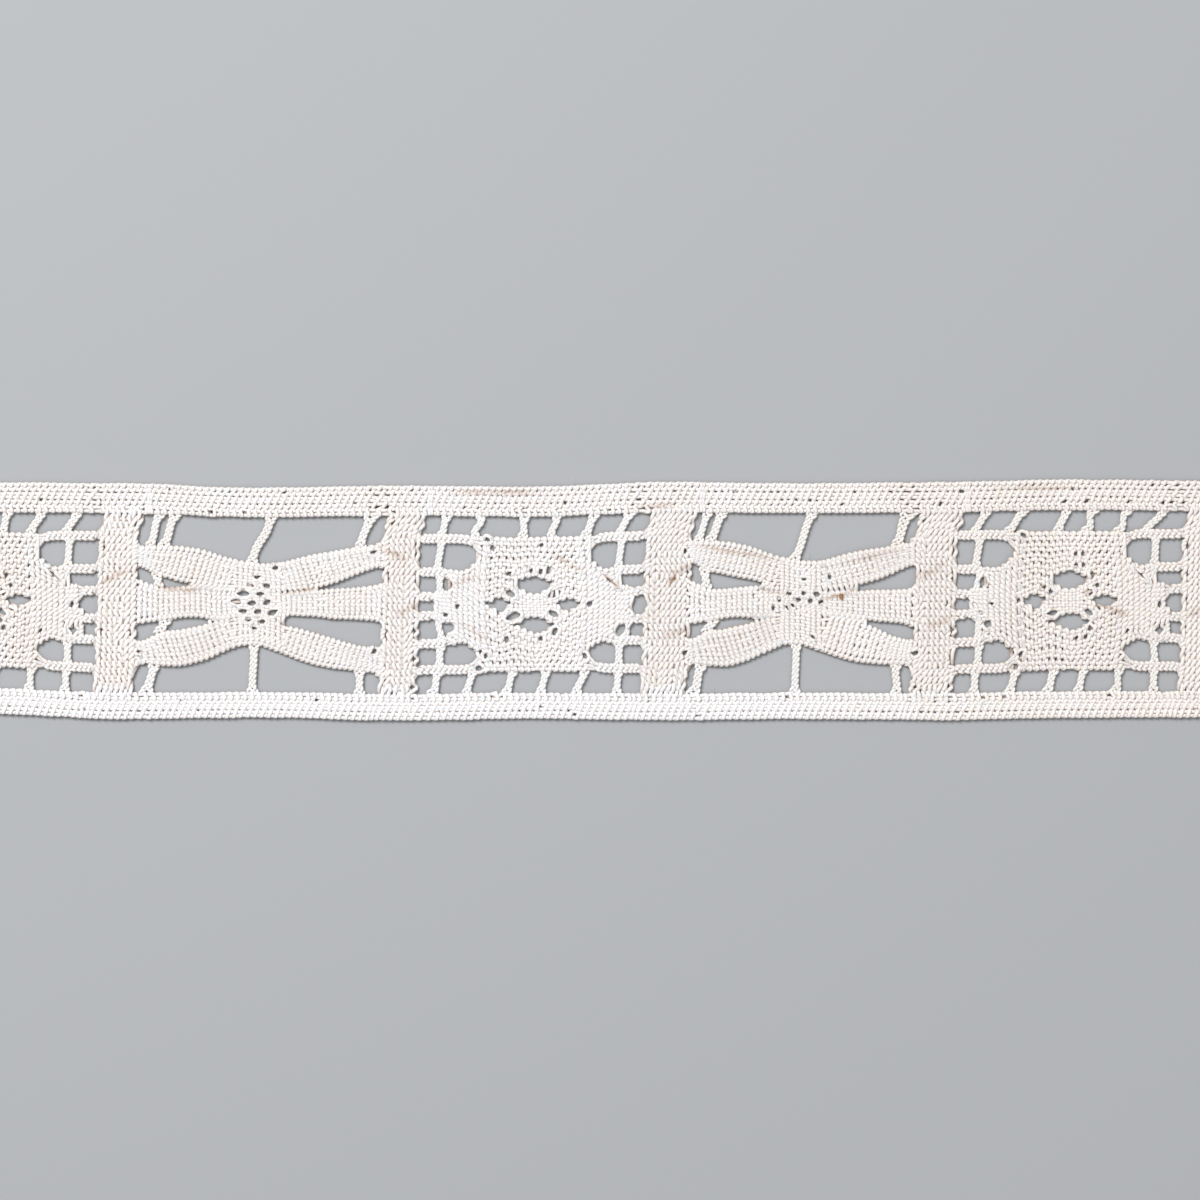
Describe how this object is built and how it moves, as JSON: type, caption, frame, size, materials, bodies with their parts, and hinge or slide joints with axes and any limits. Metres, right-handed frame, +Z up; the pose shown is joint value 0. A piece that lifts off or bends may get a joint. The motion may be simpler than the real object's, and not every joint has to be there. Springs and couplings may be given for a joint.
{
  "type": "cluny lace trim",
  "caption": "Cotton cluny lace trim lying flat: dense footings along both edges, cross bars, and panels of laddered wreaths and petalled daisies between them.",
  "frame": {"origin": "centre of the trim's outline, on the surface that it lies on", "axes": "+X along the trim, +Y across it towards the wider footing, +Z up through the cloth"},
  "size_m": [0.15, 0.026, 0.001],
  "materials": {
    "cotton": "matt off-white spun cotton thread"
  },
  "bodies": {
    "root": {"lace": "cotton"}
  },
  "joints": []
}
